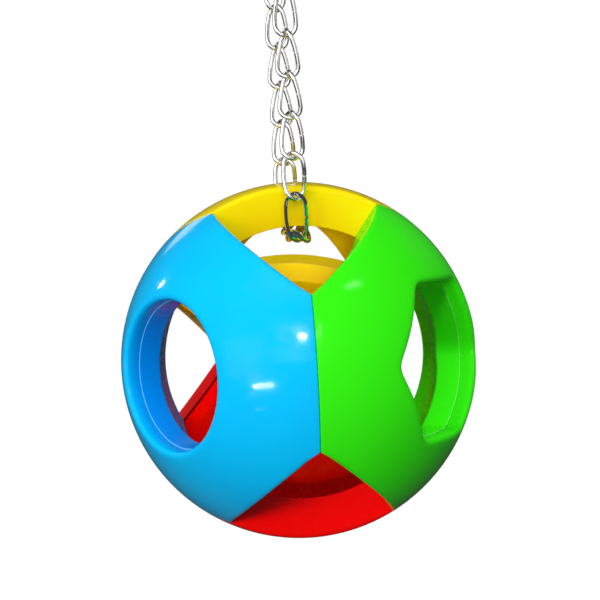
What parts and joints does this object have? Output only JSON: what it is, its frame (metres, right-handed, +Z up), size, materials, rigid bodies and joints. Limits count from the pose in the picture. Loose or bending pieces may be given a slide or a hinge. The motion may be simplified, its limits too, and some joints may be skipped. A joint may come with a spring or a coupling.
{
  "type": "hanging bird ball toy",
  "caption": "Open ball of joined coloured plastic sectors with shaped holes, slung on a doubled twisted-link chain from a triangular hanger ring, for a cage bird to swing and peck.",
  "frame": {"origin": "the underside of the hanger ring's tip, where the ring rests on a hook", "axes": "+Z up; -Y towards the front of the ball, where the blue and green sectors meet; +X to the right as seen from the front; the chain loop lies in the plane x = 0"},
  "size_m": [0.08, 0.08, 0.1518],
  "materials": {
    "bright_steel": "polished nickel-plated steel wire",
    "blue_plastic": "glossy injection moulding",
    "green_plastic": "glossy injection moulding",
    "yellow_plastic": "glossy injection moulding",
    "red_plastic": "glossy injection moulding"
  },
  "bodies": {
    "hanger": {"hanger_ring": "bright_steel"},
    "front_1": {"front_link_1": "bright_steel"},
    "front_2": {"front_link_2": "bright_steel"},
    "front_3": {"front_link_3": "bright_steel"},
    "front_4": {"front_link_4": "bright_steel"},
    "front_5": {"front_link_5": "bright_steel"},
    "front_6": {"front_link_6": "bright_steel"},
    "front_7": {"front_link_7": "bright_steel"},
    "rear_1": {"rear_link_1": "bright_steel"},
    "rear_2": {"rear_link_2": "bright_steel"},
    "rear_3": {"rear_link_3": "bright_steel"},
    "rear_4": {"rear_link_4": "bright_steel"},
    "rear_5": {"rear_link_5": "bright_steel"},
    "rear_6": {"rear_link_6": "bright_steel"},
    "rear_7": {"rear_link_7": "bright_steel"},
    "sling_front": {"sling_link_front": "bright_steel"},
    "sling_rear": {"sling_link_rear": "bright_steel"},
    "ball": {"blue_outer_shell": "blue_plastic", "blue_inner_liner": "blue_plastic", "green_outer_shell": "green_plastic", "green_inner_liner": "green_plastic", "yellow_outer_shell": "yellow_plastic", "yellow_inner_liner": "yellow_plastic", "red_outer_shell": "red_plastic", "red_inner_liner": "red_plastic"}
  },
  "joints": [
    {"name": "front_1_swing", "type": "hinge", "parent": "hanger", "child": "front_1", "pos_m": [0, -0.0134, -0.02091], "axis": [0, 1, 0], "range_deg": [-15, 15]},
    {"name": "front_2_swing", "type": "hinge", "parent": "front_1", "child": "front_2", "pos_m": [0, -0.0134, -0.02971], "axis": [0, 1, 0], "range_deg": [-12, 12]},
    {"name": "front_3_swing", "type": "hinge", "parent": "front_2", "child": "front_3", "pos_m": [0, -0.0134, -0.03851], "axis": [0, 1, 0], "range_deg": [-12, 12]},
    {"name": "front_4_sway", "type": "hinge", "parent": "front_3", "child": "front_4", "pos_m": [0, -0.0134, -0.04731], "axis": [1, 0, 0], "range_deg": [-18, 18]},
    {"name": "front_5_sway", "type": "hinge", "parent": "front_4", "child": "front_5", "pos_m": [0, -0.0134, -0.05611], "axis": [1, 0, 0], "range_deg": [-18, 18]},
    {"name": "front_6_swing", "type": "hinge", "parent": "front_5", "child": "front_6", "pos_m": [0, -0.0134, -0.06491], "axis": [0, 1, 0], "range_deg": [-12, 12]},
    {"name": "front_7_swing", "type": "hinge", "parent": "front_6", "child": "front_7", "pos_m": [0, -0.0134, -0.07371], "axis": [0, 1, 0], "range_deg": [-8, 8]},
    {"name": "rear_1_swing", "type": "hinge", "parent": "hanger", "child": "rear_1", "pos_m": [0, 0.00855, -0.02091], "axis": [0, 1, 0], "range_deg": [-15, 15]},
    {"name": "rear_2_swing", "type": "hinge", "parent": "rear_1", "child": "rear_2", "pos_m": [0, 0.00855, -0.02971], "axis": [0, 1, 0], "range_deg": [-12, 12]},
    {"name": "rear_3_swing", "type": "hinge", "parent": "rear_2", "child": "rear_3", "pos_m": [0, 0.00855, -0.03851], "axis": [0, 1, 0], "range_deg": [-12, 12]},
    {"name": "rear_4_sway", "type": "hinge", "parent": "rear_3", "child": "rear_4", "pos_m": [0, 0.00855, -0.04731], "axis": [1, 0, 0], "range_deg": [-18, 18]},
    {"name": "rear_5_sway", "type": "hinge", "parent": "rear_4", "child": "rear_5", "pos_m": [0, 0.00855, -0.05611], "axis": [1, 0, 0], "range_deg": [-18, 18]},
    {"name": "rear_6_swing", "type": "hinge", "parent": "rear_5", "child": "rear_6", "pos_m": [0, 0.00855, -0.06491], "axis": [0, 1, 0], "range_deg": [-12, 12]},
    {"name": "rear_7_swing", "type": "hinge", "parent": "rear_6", "child": "rear_7", "pos_m": [0, 0.00855, -0.07371], "axis": [0, 1, 0], "range_deg": [-8, 8]},
    {"name": "sling_front_roll", "type": "hinge", "parent": "front_7", "child": "sling_front", "pos_m": [0, -0.0134, -0.08146], "axis": [0, 1, 0], "range_deg": [-3, 3]},
    {"name": "sling_rear_roll", "type": "hinge", "parent": "rear_7", "child": "sling_rear", "pos_m": [0, 0.00855, -0.08146], "axis": [0, 1, 0], "range_deg": [-3, 3]},
    {"name": "ball_rock", "type": "hinge", "parent": "sling_front", "child": "ball", "pos_m": [0, -0.0062, -0.07996], "axis": [1, 0, 0], "range_deg": [-2, 4]}
  ],
  "couplings": [
    {"joint": "rear_1_swing", "follows": "front_1_swing", "ratio": 1},
    {"joint": "rear_2_swing", "follows": "front_2_swing", "ratio": 1},
    {"joint": "rear_3_swing", "follows": "front_3_swing", "ratio": 1},
    {"joint": "rear_4_sway", "follows": "front_4_sway", "ratio": 1},
    {"joint": "rear_6_swing", "follows": "front_6_swing", "ratio": 1},
    {"joint": "rear_7_swing", "follows": "front_7_swing", "ratio": 1},
    {"joint": "front_5_sway", "follows": "front_4_sway", "ratio": -1},
    {"joint": "rear_5_sway", "follows": "front_4_sway", "ratio": -1},
    {"joint": "sling_rear_roll", "follows": "sling_front_roll", "ratio": 1}
  ]
}
